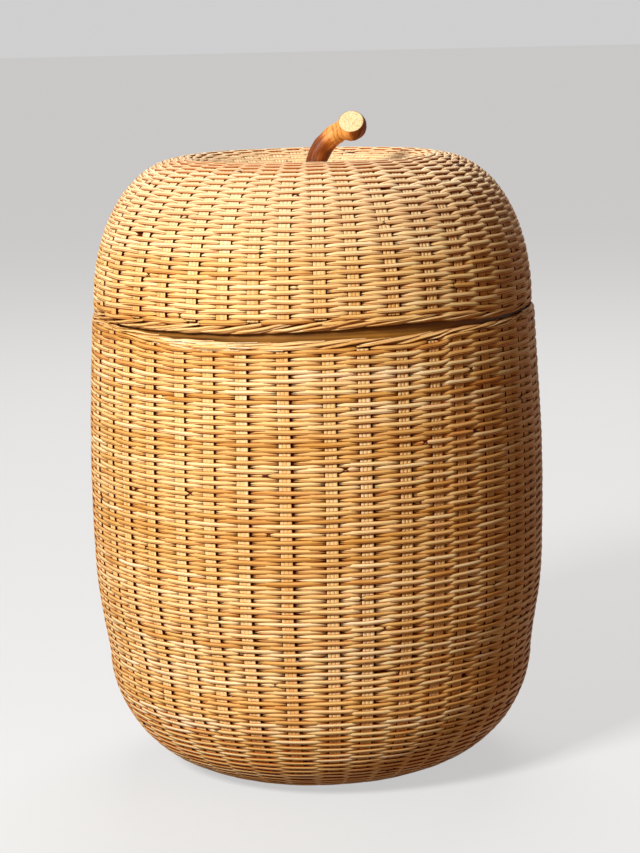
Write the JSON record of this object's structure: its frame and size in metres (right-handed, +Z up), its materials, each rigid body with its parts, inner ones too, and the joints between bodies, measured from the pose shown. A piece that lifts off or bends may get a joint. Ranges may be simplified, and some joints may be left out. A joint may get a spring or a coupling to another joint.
{
  "type": "lidded basket",
  "caption": "Round apple-shaped storage basket woven of cane, with a domed, dimpled lift-off lid and a bent twig for a stem.",
  "frame": {"origin": "middle of the underside of the base, on the surface that the basket stands on", "axes": "+Z up along the axis of the basket; the front, as pictured, faces -Y, and the twig leans to +X"},
  "size_m": [0.2279, 0.228, 0.3284],
  "materials": {
    "weaver_cane": "round cane, golden, satin",
    "stake_cane": "flattened round cane in threes, pale, satin",
    "border_cane": "bent round cane, pale, worn",
    "collar_cane": "split cane strip, brown, smooth",
    "twig_bark": "smooth brown bark, slightly glossy",
    "peg_wood": "whittled wood, matt"
  },
  "bodies": {
    "basket": {"base_cross": "stake_cane", "base_weave": "weaver_cane", "body_weave": "weaver_cane", "body_stake_01": "stake_cane", "body_stake_02": "stake_cane", "body_stake_03": "stake_cane", "body_stake_04": "stake_cane", "body_stake_05": "stake_cane", "body_stake_06": "stake_cane", "body_stake_07": "stake_cane", "body_stake_08": "stake_cane", "body_stake_09": "stake_cane", "body_stake_10": "stake_cane", "body_stake_11": "stake_cane", "body_stake_12": "stake_cane", "body_stake_13": "stake_cane", "body_stake_14": "stake_cane", "body_stake_15": "stake_cane", "body_stake_16": "stake_cane", "body_stake_17": "stake_cane", "body_stake_18": "stake_cane", "body_stake_19": "stake_cane", "body_stake_20": "stake_cane", "body_stake_21": "stake_cane", "body_stake_22": "stake_cane", "body_stake_23": "stake_cane", "body_stake_24": "stake_cane", "body_stake_25": "stake_cane", "body_stake_26": "stake_cane", "body_stake_27": "stake_cane", "body_stake_28": "stake_cane", "body_stake_29": "stake_cane", "body_stake_30": "stake_cane", "body_stake_31": "stake_cane", "body_stake_32": "stake_cane", "body_stake_33": "stake_cane", "body_stake_34": "stake_cane", "body_stake_35": "stake_cane", "body_stake_36": "stake_cane", "body_stake_37": "stake_cane", "body_stake_38": "stake_cane", "body_stake_39": "stake_cane", "body_border": "border_cane", "collar_hoop": "collar_cane"},
    "lid": {"lid_weave": "weaver_cane", "lid_frame": "stake_cane", "lid_centre": "weaver_cane", "lid_cross": "stake_cane", "stem": "twig_bark", "stem_washer": "collar_cane", "stem_peg": "peg_wood"}
  },
  "joints": [
    {"name": "lid_lift", "type": "slide", "parent": "basket", "child": "lid", "axis": [0, 0, 1], "range_m": [0, 0.3]}
  ]
}
